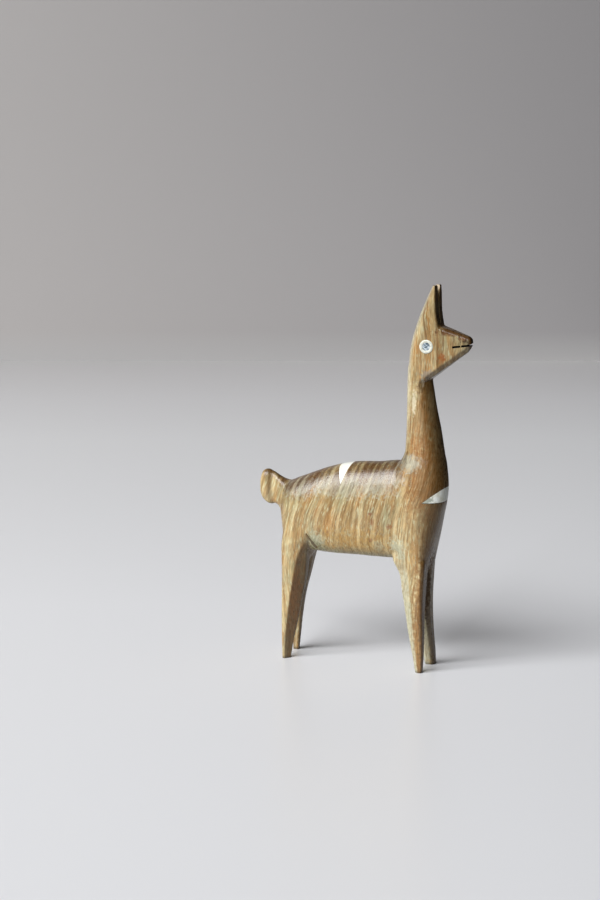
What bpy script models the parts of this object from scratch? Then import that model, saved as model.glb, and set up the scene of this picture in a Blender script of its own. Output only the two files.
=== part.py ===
"""A vicuna whittled from one block of palo santo wood, with eyes and two wedges of bone let into it.

Everything is in millimetres until it becomes a mesh, which is in metres. +X points to the nose, +Z up, and
-Y is the animal's right side. The origin lies on the ground, under the middle of the bounding box.
The block is roughed out in separate lofts, joined and rounded over, then grooved, drilled and parted.
"""

import bmesh
import bpy
import math
import numpy as np
from mathutils import Euler, Vector

MM = 0.001

# Driving sizes of the carving.
HEIGHT = 140.0
NOSE_X = 40.85
TAIL_X = -40.85
BELLY_Z = 40.2
HALF_WIDTH = 9.1
CROTCH_Z = 36.6
NECK_TOP = 106.0
THROAT = (26.2, 106.7)
CHIN = (39.6, 116.7)

# The block is smoothed over cells of this size, then carried by this many triangles.
CELL = 0.55
SMOOTHING = 3
WOOD_TRIANGLES = 7800
CREASE = math.radians(32.0)

# Air that every piece keeps from its neighbour, and wood left below the ground until the feet are trimmed.
GAP = 0.3
SPARE = 1.0

# How far apart the rings of a loft stand, and how many points a rounded ring has.
STEP = 1.5
RING_POINTS = 40

# The head in plan: half width where the cheeks begin, how they close to the nose, and how round the nape is.
CHEEK = 4.9
CHEEK_X = 23.0
CHEEK_ANGLE = math.radians(10.4)
NAPE_ROUND = 3.6
NAPE_POINTS = 8

# The chamfer along each lower edge of the jaw.
JAW_CHAMFER = 1.4

# The chamfer along each upper edge of the muzzle, from the ears to the nose.
BROW_CHAMFER = 0.9
BROW_BACK = (29.9, 125.5)
BROW_FRONT = (39.9, 122.2)

# The ears part at this height: a fine slot below, and a V that opens to the tips above, a little off centre.
EAR_FOOT = 126.4
EAR_TAPER = 0.04
EAR_SLOT = 0.5
EAR_FORK_Z = 134.2
EAR_FORK_WIDTH = 3.0
EAR_FORK_SHIFT = 0.5

# The front outer bevel of a leg takes this much more of its thickness than of its depth.
BEVEL_RATIO = 1.3

# The bone ring of an eye, the plug inside it, and how deep they are let in.
RING_DIAMETER = 4.9
PLUG_DIAMETER = 2.3
EYE_DEPTH = 2.2
EYE_AT = (25.2, 118.4)
EYE_SIDES = 32

# The saw kerf of the mouth.
MOUTH_BACK = (34.3, 118.6)
MOUTH_RISE = math.radians(6.4)
MOUTH_LEAN = math.radians(4.2)
MOUTH_KERF = 0.65
MOUTH_REACH = 12.0

# The V grooves of the two bone wedges, in side view: the floor of the groove, then its two lips.
BACK_GROOVE = ((-6.1, 67.3), (-9.4, 77.0), (-2.6, 77.0))
CHEST_GROOVE = ((25.4, 62.6), (36.0, 62.4), (36.0, 70.6))

# Where the block is parted: a point on the cut in side view, and the angle of the cut.
HEAD_CUT = ((21.5, 109.4), math.radians(-24.0))
NECK_CUT = ((22.0, 77.4), math.radians(-14.0))
EARS_CUT = ((24.0, 127.0), 0.0)
TAIL_CUT = ((-31.2, 61.4), math.radians(66.5))
FRONT_LEGS_CUT = ((21.0, 35.2), 0.0)
HIND_LEGS_CUT = ((-23.0, 35.2), 0.0)

# Reach of every saw and drill beyond the wood that it cuts.
CUT_REACH = 24.0
BEYOND = 4.0

# Colour and roughness of each material.
WOOD = ((0.42, 0.28, 0.14), 0.42)
BONE = ((0.86, 0.86, 0.80), 0.35)
RESIN = ((0.16, 0.20, 0.23), 0.2)


def clear_scene():
    for obj in list(bpy.data.objects):
        bpy.data.objects.remove(obj, do_unlink=True)


def between(stations, at):
    """Values on a smooth curve through the stations. Each station opens with its own place on the curve."""
    table = np.array(stations, dtype=float)
    places = table[:, 0]
    values = table[:, 1:]
    slopes = np.gradient(values, places, axis=0)
    i = int(np.clip(np.searchsorted(places, at) - 1, 0, len(places) - 2))
    span = places[i + 1] - places[i]
    t = (at - places[i]) / span
    rise = (2 * t**3 - 3 * t**2 + 1) * values[i] + (3 * t**2 - 2 * t**3) * values[i + 1]
    lean = (t**3 - 2 * t**2 + t) * slopes[i] + (t**3 - t**2) * slopes[i + 1]
    return rise + lean * span


def places_along(stations, step):
    first = stations[0][0]
    last = stations[-1][0]
    return np.linspace(first, last, max(3, round((last - first) / step)))


def mesh_object(name, points, faces):
    mesh = bpy.data.meshes.new(name)
    mesh.from_pydata([tuple(MM * c for c in p) for p in points], [], faces)
    shell = bmesh.new()
    shell.from_mesh(mesh)
    bmesh.ops.recalc_face_normals(shell, faces=shell.faces)
    shell.to_mesh(mesh)
    shell.free()
    obj = bpy.data.objects.new(name, mesh)
    bpy.context.scene.collection.objects.link(obj)
    return obj


def loft(name, rings):
    """A closed skin over rings of equal count, capped at both ends."""
    count = len(rings[0])
    points = [p for ring in rings for p in ring]
    faces = [tuple(range(count)), tuple(range(len(points) - count, len(points)))]
    for r in range(len(rings) - 1):
        for k in range(count):
            nxt = (k + 1) % count
            faces.append((r * count + k, r * count + nxt, (r + 1) * count + nxt, (r + 1) * count + k))
    return mesh_object(name, points, faces)


def prism(name, outline, half_width):
    """A side-view outline sawn straight through, from -half_width to +half_width across."""
    return loft(name, [[(x, y, z) for x, z in outline] for y in (-half_width, half_width)])


def slab(name, centre, sizes, turn=(0.0, 0.0, 0.0)):
    """A box of the given sizes about a point, turned about it."""
    half = [s / 2 for s in sizes]
    frame = Euler(turn).to_matrix()
    rings = []
    for z in (-half[2], half[2]):
        corners = [(-half[0], -half[1]), (half[0], -half[1]), (half[0], half[1]), (-half[0], half[1])]
        rings.append([tuple(Vector(centre) + frame @ Vector((x, y, z))) for x, y in corners])
    return loft(name, rings)


def rounded(power):
    """A unit outline as pairs: a circle at power 2, and squarer as the power grows."""
    angles = [2 * math.pi * k / RING_POINTS for k in range(RING_POINTS)]
    return [
        (
            math.copysign(abs(math.cos(a)) ** (2 / power), math.cos(a)),
            math.copysign(abs(math.sin(a)) ** (2 / power), math.sin(a)),
        )
        for a in angles
    ]


def torso():
    """The barrel, lofted from rump to chest. Each station: x, back line, belly line, half width."""
    stations = [
        (-31.3, 62.5, 52.0, 3.4),
        (-30.0, 65.0, 46.0, 5.6),
        (-27.0, 66.8, 42.2, 7.6),
        (-22.5, 68.6, 41.2, 8.6),
        (-13.0, 72.3, BELLY_Z, HALF_WIDTH - 0.1),
        (-4.0, 74.5, BELLY_Z, HALF_WIDTH),
        (6.0, 75.3, BELLY_Z, HALF_WIDTH),
        (14.0, 76.2, BELLY_Z, HALF_WIDTH - 0.1),
        (21.0, 75.0, BELLY_Z, 8.6),
        (27.0, 69.0, 46.0, 6.6),
    ]
    return lengthwise("torso_rough", stations, 2.4)


def lengthwise(name, stations, power):
    """A loft along the X axis. Each station: x, top, underside, half width."""
    rings = []
    for x in places_along(stations, STEP):
        top, bottom, half = between(stations, x)
        middle = (top + bottom) / 2
        reach = (top - bottom) / 2
        rings.append([(x, half * u, middle + reach * v) for u, v in rounded(power)])
    return loft(name, rings)


def upright(name, stations, rear_power):
    """A loft up the Z axis. Each station: z, rearmost x, foremost x, half width, squareness of the front."""
    quarter = RING_POINTS // 4
    rings = []
    for z in places_along(stations, STEP):
        rear, front, half, front_power = between(stations, z)
        middle = (rear + front) / 2
        reach = (front - rear) / 2
        fore = rounded(front_power)
        aft = rounded(rear_power)
        turn = fore[:quarter] + aft[quarter : 3 * quarter + 1] + fore[3 * quarter + 1 :]
        rings.append([(middle + reach * u, half * v, z) for u, v in turn])
    return loft(name, rings)


def forehand():
    """Chest and shoulders, from the fork of the front legs up to the base of the neck."""
    stations = [
        (CROTCH_Z, 17.4, 25.7, 7.9, 4.0),
        (42.0, 15.0, 27.0, 8.4, 3.4),
        (48.0, 12.0, 28.5, 8.9, 3.0),
        (57.0, 9.0, 30.5, 9.0, 2.6),
        (63.0, 8.5, 31.7, 8.9, 2.5),
        (68.5, 9.5, 32.1, 8.5, 2.5),
        (73.0, 12.5, 31.7, 7.9, 2.5),
        (78.0, 15.8, 30.9, 7.0, 2.5),
        (82.0, 16.6, 30.2, 6.6, 2.5),
    ]
    return upright("forehand_rough", stations, 2.5)


def neck():
    """The neck, thinning up to the throat and on into the head."""
    stations = [
        (70.0, 16.0, 31.6, 7.4, 2.5),
        (76.0, 16.2, 31.1, 7.1, 2.5),
        (82.0, 16.6, 30.3, 6.6, 2.3),
        (88.0, 16.9, 29.4, 6.2, 2.1),
        (95.0, 17.0, 28.0, 5.6, 1.9),
        (102.0, 17.0, 26.8, 5.0, 1.8),
        (NECK_TOP, 17.0, 26.2, 4.7, 1.7),
        (NECK_TOP + 5.0, 17.2, 26.0, 4.6, 1.7),
    ]
    return upright("neck_rough", stations, 2.2)


def hindquarter():
    """Rump and haunches, from the fork of the hind legs up to the root of the tail."""
    stations = [
        (CROTCH_Z, -29.6, -21.6, 7.9, 1.3),
        (42.0, -30.7, -18.2, 8.4, 1.9),
        (48.0, -31.2, -14.0, 8.5, 2.5),
        (53.0, -31.9, -12.0, 8.1, 2.6),
        (57.0, -32.5, -13.0, 6.9, 2.6),
        (62.0, -31.4, -15.0, 5.2, 2.6),
    ]
    return upright("hindquarter_rough", stations, 2.5)


def leg(name, side, stations, bevels):
    """A whittled leg. Each station: z, rear x, front x, inner and outer distance from the centre plane, and
    the front outer bevel's share of the depth. Each other bevel: its share of the depth and the thickness."""
    rear_outer, front_inner, rear_inner = bevels
    rings = []
    for z in places_along(stations, STEP):
        rear, front, inner, outer, bevel = between(stations, z)
        deep = front - rear
        thick = outer - inner
        corners = [
            (rear, outer - rear_outer[1] * thick),
            (rear + rear_outer[0] * deep, outer),
            (front - bevel * deep, outer),
            (front, outer - BEVEL_RATIO * bevel * thick),
            (front, inner + front_inner[1] * thick),
            (front - front_inner[0] * deep, inner),
            (rear + rear_inner[0] * deep, inner),
            (rear, inner + rear_inner[1] * thick),
        ]
        rings.append([(x, side * out, z) for x, out in corners])
    return loft(name, rings)


def legs():
    """The four legs, no two quite alike, left long at the foot for trimming."""
    front_bevels = ((0.45, 0.30), (0.22, 0.28), (0.25, 0.30))
    hind_bevels = ((0.10, 0.20), (0.12, 0.12), (0.20, 0.25))
    front_right = [
        (-SPARE, 23.5, 25.9, 6.4, 8.6, 0.10),
        (6.0, 22.1, 26.1, 5.2, 8.6, 0.10),
        (13.0, 20.5, 26.0, 4.2, 8.5, 0.10),
        (20.0, 19.1, 25.7, 3.0, 8.4, 0.10),
        (30.0, 17.2, 25.8, 1.4, 8.3, 0.10),
        (36.0, 16.0, 26.0, 0.8, 8.1, 0.10),
        (40.0, 13.8, 26.1, 0.7, 8.0, 0.10),
        (46.0, 12.6, 25.0, 0.7, 6.6, 0.10),
    ]
    front_left = [
        (-SPARE, 22.4, 26.2, 4.7, 7.9, 0.10),
        (6.0, 21.5, 25.8, 3.7, 7.9, 0.10),
        (13.0, 20.5, 25.2, 2.7, 7.9, 0.10),
        (20.0, 19.3, 24.8, 2.0, 8.0, 0.10),
        (30.0, 17.4, 24.9, 1.2, 8.1, 0.10),
        (36.0, 16.0, 25.3, 0.8, 8.0, 0.10),
        (40.0, 13.8, 25.5, 0.7, 8.0, 0.10),
        (46.0, 12.6, 25.0, 0.7, 6.6, 0.10),
    ]
    hind_right = [
        (-SPARE, -29.2, -26.5, 5.6, 8.1, 0.60),
        (6.0, -29.5, -25.7, 4.6, 8.3, 0.58),
        (14.0, -29.6, -24.3, 3.4, 8.4, 0.54),
        (22.0, -29.7, -22.9, 2.3, 8.4, 0.48),
        (30.0, -29.8, -21.5, 1.2, 8.3, 0.40),
        (38.0, -30.0, -20.6, 0.7, 8.1, 0.30),
        (44.0, -30.0, -19.3, 0.7, 8.0, 0.14),
        (49.0, -29.5, -17.0, 0.7, 7.2, 0.02),
    ]
    hind_left = [
        (-SPARE, -31.1, -28.6, 6.3, 8.9, 0.48),
        (6.0, -30.8, -27.6, 5.0, 8.8, 0.48),
        (14.0, -30.4, -26.4, 3.6, 8.8, 0.47),
        (22.0, -30.1, -24.9, 2.4, 8.6, 0.44),
        (30.0, -29.9, -22.8, 1.2, 8.4, 0.38),
        (38.0, -30.0, -20.8, 0.7, 8.1, 0.30),
        (44.0, -30.0, -19.3, 0.7, 8.0, 0.14),
        (49.0, -29.5, -17.0, 0.7, 7.2, 0.02),
    ]
    return [
        leg("leg_front_right_rough", -1, front_right, front_bevels),
        leg("leg_front_left_rough", 1, front_left, front_bevels),
        leg("leg_hind_right_rough", -1, hind_right, hind_bevels),
        leg("leg_hind_left_rough", 1, hind_left, hind_bevels),
    ]


def tail():
    """A short upturned paddle, waisted at the sides. Each station: x, top, underside, half width."""
    stations = [
        (TAIL_X, 65.8, 60.6, 1.6),
        (-40.2, 68.3, 58.9, 2.3),
        (-39.0, 69.5, 57.6, 2.7),
        (-37.5, 69.6, 56.7, 2.6),
        (-36.3, 69.1, 56.6, 2.0),
        (-35.3, 68.7, 56.9, 1.9),
        (-33.5, 67.6, 55.9, 2.5),
        (-31.5, 66.6, 53.0, 3.4),
        (-27.0, 65.8, 51.0, 4.6),
    ]
    return lengthwise("tail_rough", stations, 2.8)


def cheek(x):
    """Half width of the head: a wedge in plan, narrowing to the nose."""
    return CHEEK - max(0.0, x - CHEEK_X) * math.tan(CHEEK_ANGLE)


def head():
    """Head and ears in one. Each station: z, nape, then throat, muzzle or the front of the ears."""
    stations = [
        (NECK_TOP - 0.4, 17.0, 23.6),
        (THROAT[1], 17.1, THROAT[0]),
        (CHIN[1], 18.0, CHIN[0]),
        (118.2, 18.3, 40.4),
        (119.4, 18.5, NOSE_X),
        (121.2, 19.0, NOSE_X - 0.1),
        (BROW_FRONT[1], 19.2, BROW_FRONT[0]),
        (BROW_BACK[1], 20.2, BROW_BACK[0]),
        (EAR_FOOT, 20.5, 29.1),
        (130.0, 21.8, 28.5),
        (134.8, 23.8, 28.2),
        (137.6, 25.1, 28.1),
        (HEIGHT + 0.1, 26.4, 28.0),
    ]
    quarter_turn = [math.pi / 2 * k / NAPE_POINTS for k in range(NAPE_POINTS + 1)]
    rings = []
    for z, rear, front in stations:
        nape = min(NAPE_ROUND, front - rear)
        taper = 1 - EAR_TAPER * max(0.0, z - EAR_FOOT) / (HEIGHT - EAR_FOOT)
        side = [(rear + nape * (1 - math.cos(a)), math.sin(a)) for a in quarter_turn]
        side.append((front, 1.0))
        ring = [(x, cheek(x) * taper * share, z) for x, share in side]
        rings.append(ring + [(x, -y, z) for x, y, z in reversed(ring[1:])])
    blank = loft("head_rough", rings)
    keel = jaw_keel()
    boolean(blank, "INTERSECT", keel)
    remove(keel)
    with_all(blank, "DIFFERENCE", [brow_wedge(-1), brow_wedge(1)])
    return blank


def brow_wedge(side):
    """What a 45-degree chamfer takes off one upper edge of the muzzle."""
    fall = (BROW_FRONT[1] - BROW_BACK[1]) / (BROW_FRONT[0] - BROW_BACK[0])
    rings = []
    for x in (BROW_BACK[0] - 0.7, BROW_FRONT[0] + BEYOND):
        top = BROW_BACK[1] + fall * (x - BROW_BACK[0])
        corners = [(-BROW_CHAMFER - 1, 1), (1, 1), (1, -BROW_CHAMFER - 1)]
        rings.append([(x, side * (cheek(x) + out), top + up) for out, up in corners])
    return loft("brow_wedge", rings)


def jaw_keel():
    """A block over the jaw line: an edge narrower than the cheeks, opening at 45 degrees on both sides."""
    run = Vector((CHIN[0] - THROAT[0], 0, CHIN[1] - THROAT[1])).normalized()
    rise = Vector((-run.z, 0, run.x))
    wide = CHEEK + 1.0
    tall = HEIGHT - THROAT[1] + CUT_REACH
    behind = THROAT[0] - CUT_REACH / 2
    ahead = CHIN[0] + BEYOND
    rings = []
    for x in (behind, CHEEK_X, THROAT[0], CHIN[0], ahead):
        edge = max(JAW_CHAMFER / 6, cheek(x) - JAW_CHAMFER)
        section = [(edge, 0), (wide, wide - edge), (wide, tall)]
        section += [(-y, up) for y, up in reversed(section)]
        origin = Vector((THROAT[0], 0, THROAT[1])) + run * ((x - THROAT[0]) / run.x)
        rings.append([tuple(origin + rise * up + Vector((0, y, 0))) for y, up in section])
    return loft("jaw_keel", rings)


def remove(obj):
    bpy.data.objects.remove(obj, do_unlink=True)


def apply_modifiers(obj):
    graph = bpy.context.evaluated_depsgraph_get()
    mesh = bpy.data.meshes.new_from_object(obj.evaluated_get(graph), depsgraph=graph)
    obj.modifiers.clear()
    obj.data = mesh


def boolean(obj, operation, cutter):
    """Cuts, joins or trims obj with another object or with a collection of them."""
    modifier = obj.modifiers.new("cut", "BOOLEAN")
    modifier.operation = operation
    modifier.solver = "EXACT"
    if isinstance(cutter, bpy.types.Collection):
        modifier.operand_type = "COLLECTION"
        modifier.collection = cutter
    else:
        modifier.object = cutter
    apply_modifiers(obj)


def with_all(obj, operation, pieces):
    """One Boolean of obj with a collection of pieces, which are used up."""
    group = bpy.data.collections.new("pieces")
    bpy.context.scene.collection.children.link(group)
    for piece in pieces:
        bpy.context.scene.collection.objects.unlink(piece)
        group.objects.link(piece)
    boolean(obj, operation, group)
    for piece in pieces:
        remove(piece)
    bpy.data.collections.remove(group)


def rough_block():
    block = torso()
    with_all(block, "UNION", [forehand(), neck(), hindquarter(), tail(), head()] + legs())
    return block


def round_over(block):
    """Rounds the junctions and corners as abrasive paper does, then thins the mesh."""
    remesh = block.modifiers.new("cells", "REMESH")
    remesh.mode = "VOXEL"
    remesh.voxel_size = CELL * MM
    smooth = block.modifiers.new("paper", "SMOOTH")
    smooth.factor = 0.5
    smooth.iterations = SMOOTHING
    apply_modifiers(block)
    thin = block.modifiers.new("thin", "DECIMATE")
    thin.ratio = WOOD_TRIANGLES / sum(len(p.vertices) - 2 for p in block.data.polygons)
    apply_modifiers(block)


def wedge_outline(groove, inset):
    """The outline of a V groove in side view, drawn in by an even distance."""
    floor, lip_a, lip_b = [np.array(p) for p in groove]
    arm_a = (lip_a - floor) / np.linalg.norm(lip_a - floor)
    arm_b = (lip_b - floor) / np.linalg.norm(lip_b - floor)
    half_angle = math.acos(float(arm_a @ arm_b)) / 2
    axis = (arm_a + arm_b) / np.linalg.norm(arm_a + arm_b)
    shift = axis * inset / math.sin(half_angle)
    return [tuple(p + shift) for p in (floor, lip_a, lip_b)]


def let_in_wedge(block, name, groove):
    """Saws a V groove across the block and lays a wedge of bone in it, trimmed flush with the wood."""
    inlay = prism(name, wedge_outline(groove, GAP), HALF_WIDTH + BEYOND)
    boolean(inlay, "INTERSECT", block)
    saw = prism("groove_saw", wedge_outline(groove, 0.0), HALF_WIDTH + BEYOND)
    boolean(block, "DIFFERENCE", saw)
    remove(saw)
    return inlay


def disc_ring(radius, depth, side):
    """Points of a circle square to the cheek, at a depth below its face."""
    out = Vector((math.sin(CHEEK_ANGLE), side * math.cos(CHEEK_ANGLE), 0.0))
    along = Vector((math.cos(CHEEK_ANGLE), -side * math.sin(CHEEK_ANGLE), 0.0))
    centre = Vector((EYE_AT[0], side * cheek(EYE_AT[0]), EYE_AT[1]))
    points = []
    for k in range(EYE_SIDES):
        a = 2 * math.pi * k / EYE_SIDES
        rim = along * (radius * math.cos(a)) + Vector((0, 0, radius * math.sin(a)))
        points.append(tuple(centre + rim - out * depth))
    return points


def eye(block, side, label):
    """Drills the cheek and seats a ring of bone with a dark plug in it."""
    outer = RING_DIAMETER / 2
    plug = PLUG_DIAMETER / 2
    drill = loft("eye_drill", [disc_ring(outer + GAP, d, side) for d in (-BEYOND, EYE_DEPTH + GAP)])
    boolean(block, "DIFFERENCE", drill)
    remove(drill)
    bore = plug + GAP
    faces = (0.0, EYE_DEPTH)
    rings = [disc_ring(outer, d, side) for d in faces] + [disc_ring(bore, d, side) for d in reversed(faces)]
    count = EYE_SIDES
    quads = []
    for r in range(4):
        for k in range(count):
            nxt = (k + 1) % count
            far = (r + 1) % 4
            quads.append((r * count + k, r * count + nxt, far * count + nxt, far * count + k))
    ring = mesh_object("eye_ring_" + label, [p for line in rings for p in line], quads)
    pupil = loft("eye_pupil_" + label, [disc_ring(plug, d, side) for d in faces])
    return ring, pupil


def trim(block):
    """Cuts the feet level, saws the mouth and opens the ears."""
    across = HALF_WIDTH + BEYOND
    length = NOSE_X - TAIL_X + 2 * BEYOND
    ground = slab("ground_saw", (0, 0, -BEYOND / 2), (length, 2 * across, BEYOND))
    forward = MOUTH_REACH / 2
    mouth_x = MOUTH_BACK[0] + forward * math.cos(MOUTH_RISE)
    mouth_z = MOUTH_BACK[1] + forward * math.sin(MOUTH_RISE)
    blade = (MOUTH_REACH, 2 * across, MOUTH_KERF)
    mouth = slab("mouth_saw", (mouth_x, 0, mouth_z), blade, (MOUTH_LEAN, -MOUTH_RISE, 0))
    fork = [
        (EAR_SLOT / 2, EARS_CUT[0][1] - GAP),
        (EAR_SLOT / 2, EAR_FORK_Z),
        (EAR_FORK_SHIFT + EAR_FORK_WIDTH / 2, HEIGHT + SPARE),
        (EAR_FORK_SHIFT - EAR_FORK_WIDTH / 2, HEIGHT + SPARE),
        (-EAR_SLOT / 2, EAR_FORK_Z),
        (-EAR_SLOT / 2, EARS_CUT[0][1] - GAP),
    ]
    middle = EARS_CUT[0][0]
    ears = loft("ear_saw", [[(x, y, z) for y, z in fork] for x in (middle - across, middle + across)])
    with_all(block, "DIFFERENCE", [ground, mouth, ears])


def part_nodes(block):
    """Parts the block with cuts as thin as the air between pieces, and names each piece by its place."""
    blade = (CUT_REACH, 2 * (HALF_WIDTH + BEYOND), GAP)
    saws = []
    for (x, z), angle in (HEAD_CUT, NECK_CUT, EARS_CUT, TAIL_CUT, FRONT_LEGS_CUT, HIND_LEGS_CUT):
        saws.append(slab("parting_saw", (x, 0, z), blade, (0, -angle, 0)))
    with_all(block, "DIFFERENCE", saws)
    bpy.context.view_layer.objects.active = block
    block.select_set(True)
    bpy.ops.mesh.separate(type="LOOSE")
    pieces = sorted(bpy.context.selected_objects, key=lambda piece: len(piece.data.vertices), reverse=True)
    nodes = {}
    for piece in pieces:
        name = node_name(piece)
        if name in nodes:
            remove(piece)
        else:
            nodes[name] = piece
            piece.name = name
    return list(nodes.values())


def middle_of(obj):
    points = np.array([v.co for v in obj.data.vertices]) / MM
    return (points.min(axis=0) + points.max(axis=0)) / 2


def node_name(obj):
    x, y, z = middle_of(obj)
    side = "right" if y < 0 else "left"
    if z < FRONT_LEGS_CUT[0][1]:
        return f"leg_{'front' if x > 0 else 'hind'}_{side}"
    if z > EARS_CUT[0][1]:
        return f"ear_{side}"
    if x < TAIL_CUT[0][0]:
        return "tail"
    if z > HEAD_CUT[0][1]:
        return "head"
    return "neck" if z > NECK_CUT[0][1] else "torso"


def finish(obj, surface):
    colour, roughness = surface
    material = bpy.data.materials.new(obj.name + "_finish")
    material.use_nodes = True
    shader = material.node_tree.nodes["Principled BSDF"]
    shader.inputs["Base Color"].default_value = (*colour, 1.0)
    shader.inputs["Roughness"].default_value = roughness
    shader.inputs["Metallic"].default_value = 0.0
    obj.data.materials.clear()
    obj.data.materials.append(material)
    obj.data.shade_smooth()
    obj.data.set_sharp_from_angle(angle=CREASE)


def main():
    clear_scene()
    block = rough_block()
    round_over(block)
    back_inlay = let_in_wedge(block, "back_inlay", BACK_GROOVE)
    chest_inlay = let_in_wedge(block, "chest_inlay", CHEST_GROOVE)
    trim(block)
    eyes = [eye(block, -1, "right"), eye(block, 1, "left")]
    for piece in part_nodes(block):
        finish(piece, WOOD)
    for inlay in (back_inlay, chest_inlay):
        finish(inlay, BONE)
    for ring, pupil in eyes:
        finish(ring, BONE)
        finish(pupil, RESIN)


main()
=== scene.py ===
import math

import bmesh
import bpy
import numpy as np
from mathutils import Euler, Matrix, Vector, noise


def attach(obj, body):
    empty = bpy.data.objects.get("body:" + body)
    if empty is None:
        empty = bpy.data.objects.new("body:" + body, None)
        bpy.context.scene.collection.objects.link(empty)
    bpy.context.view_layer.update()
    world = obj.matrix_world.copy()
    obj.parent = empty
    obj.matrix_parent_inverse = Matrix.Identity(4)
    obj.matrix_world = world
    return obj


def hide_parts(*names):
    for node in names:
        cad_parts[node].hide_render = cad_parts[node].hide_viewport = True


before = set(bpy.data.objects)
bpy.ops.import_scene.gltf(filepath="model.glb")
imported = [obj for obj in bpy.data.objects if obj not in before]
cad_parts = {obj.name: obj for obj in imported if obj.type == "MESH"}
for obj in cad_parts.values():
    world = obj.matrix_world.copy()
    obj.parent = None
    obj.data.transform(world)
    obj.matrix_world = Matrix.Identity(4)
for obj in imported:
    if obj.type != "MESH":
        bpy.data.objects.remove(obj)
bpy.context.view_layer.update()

# THE CAMERA
# It stands where the photograph was taken from: three quarters of a metre off the carving's right side,
# a little ahead of it and just above its ears, with a short telephoto lens.
scene = bpy.context.scene
lens = bpy.data.cameras.new("camera")
lens.lens = 85
lens.sensor_width = 36
camera = bpy.data.objects.new("camera", lens)
camera.location = (0.27715, -0.7126, 0.2024)
view_turn = math.radians(23.0)
view_drop = math.radians(9.17)
looks_along = Vector((-math.sin(view_turn), math.cos(view_turn), -math.tan(view_drop)))
camera.rotation_euler = looks_along.to_track_quat("-Z", "Y").to_euler()
scene.collection.objects.link(camera)
scene.camera = camera
scene.view_settings.view_transform = "Standard"

# THE BARREL OF THE BODY
# The figurine is whittled from one billet of palo santo, a dense, oily wood. The barrel is its middle: round
# over the back and belly, flatter at the flanks, high at the withers, falling to the rump. Sizes are in mm.
MM = 0.001
height = 140.0
nose_x = 40.85
tail_x = -40.85
belly_z = 40.2
half_width = 9.1
ring_points = 56
billet = []


def along(stations, at):
    """Values on a smooth curve through stations, each of which opens with its own place on the curve."""
    table = np.array(stations, dtype=float)
    places = table[:, 0]
    values = table[:, 1:]
    slopes = np.gradient(values, places, axis=0)
    i = int(np.clip(np.searchsorted(places, at) - 1, 0, len(places) - 2))
    span = places[i + 1] - places[i]
    t = (at - places[i]) / span
    rise = (2 * t**3 - 3 * t**2 + 1) * values[i] + (3 * t**2 - 2 * t**3) * values[i + 1]
    lean = (t**3 - 2 * t**2 + t) * slopes[i] + (t**3 - t**2) * slopes[i + 1]
    return rise + lean * span


def every(step, stations):
    """Places about a step apart, from the first station to the last."""
    first, last = stations[0][0], stations[-1][0]
    return np.linspace(first, last, round((last - first) / step))


def skin(name, rings, closed=False):
    """A closed mesh over rings of points in millimetres: capped at both ends, or closed into a loop."""
    count = len(rings[0])
    total = len(rings) * count
    faces = [] if closed else [tuple(range(count)), tuple(range(total - count, total))]
    for r in range(len(rings) if closed else len(rings) - 1):
        for k in range(count):
            near, far, turn = r * count, (r + 1) % len(rings) * count, (k + 1) % count
            faces.append((near + k, near + turn, far + turn, far + k))
    mesh = bpy.data.meshes.new(name)
    mesh.from_pydata([tuple(MM * c for c in p) for ring in rings for p in ring], [], faces)
    shell = bmesh.new()
    shell.from_mesh(mesh)
    bmesh.ops.recalc_face_normals(shell, faces=shell.faces)
    shell.to_mesh(mesh)
    shell.free()
    piece = bpy.data.objects.new(name, mesh)
    scene.collection.objects.link(piece)
    return piece


def rounded(power):
    """A ring between a circle, at power 2, and a square."""
    ring = []
    for k in range(ring_points):
        turn = 2 * math.pi * k / ring_points
        ring.append([math.copysign(abs(v) ** (2 / power), v) for v in (math.cos(turn), math.sin(turn))])
    return ring


def lengthwise(name, stations, power, step):
    """Wood shaped along the body. Each station: x, top, underside, half width."""
    rings = []
    for x in every(step, stations):
        top, bottom, half = along(stations, x)
        middle, tall = (top + bottom) / 2, (top - bottom) / 2
        rings.append([(x, half * u, middle + tall * v) for u, v in rounded(power)])
    return skin(name, rings)


barrel = [
    (-31.3, 62.5, 52.0, 3.4),
    (-30.0, 65.0, 46.0, 5.6),
    (-27.0, 66.8, 42.2, 7.6),
    (-22.5, 68.6, 41.2, 8.6),
    (-13.0, 72.3, belly_z, half_width - 0.1),
    (-4.0, 74.5, belly_z, half_width),
    (6.0, 75.3, belly_z, half_width),
    (14.0, 76.2, belly_z, half_width - 0.1),
    (21.0, 75.0, belly_z, 8.6),
    (27.0, 69.0, 46.0, 6.6),
]
billet.append(lengthwise("barrel", barrel, 2.4, 1.0))

# THE CHEST AND THE NECK
# The chest is left square where the front legs are split from it, and rounds off above. The neck tapers to
# the throat, and the knife leaves two slanting faces on its front that meet in a soft edge.
crotch_z = 36.6
neck_top = 106.0


def upright(name, stations, rear_power):
    """Wood shaped up and down. Each station: z, rearmost and foremost x, half width, power of the front."""
    quarter = ring_points // 4
    rings = []
    for z in every(1.0, stations):
        rear, front, half, front_power = along(stations, z)
        middle, deep = (rear + front) / 2, (front - rear) / 2
        fore, aft = rounded(front_power), rounded(rear_power)
        ring = fore[:quarter] + aft[quarter : 3 * quarter + 1] + fore[3 * quarter + 1 :]
        rings.append([(middle + deep * u, half * v, z) for u, v in ring])
    return skin(name, rings)


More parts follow.
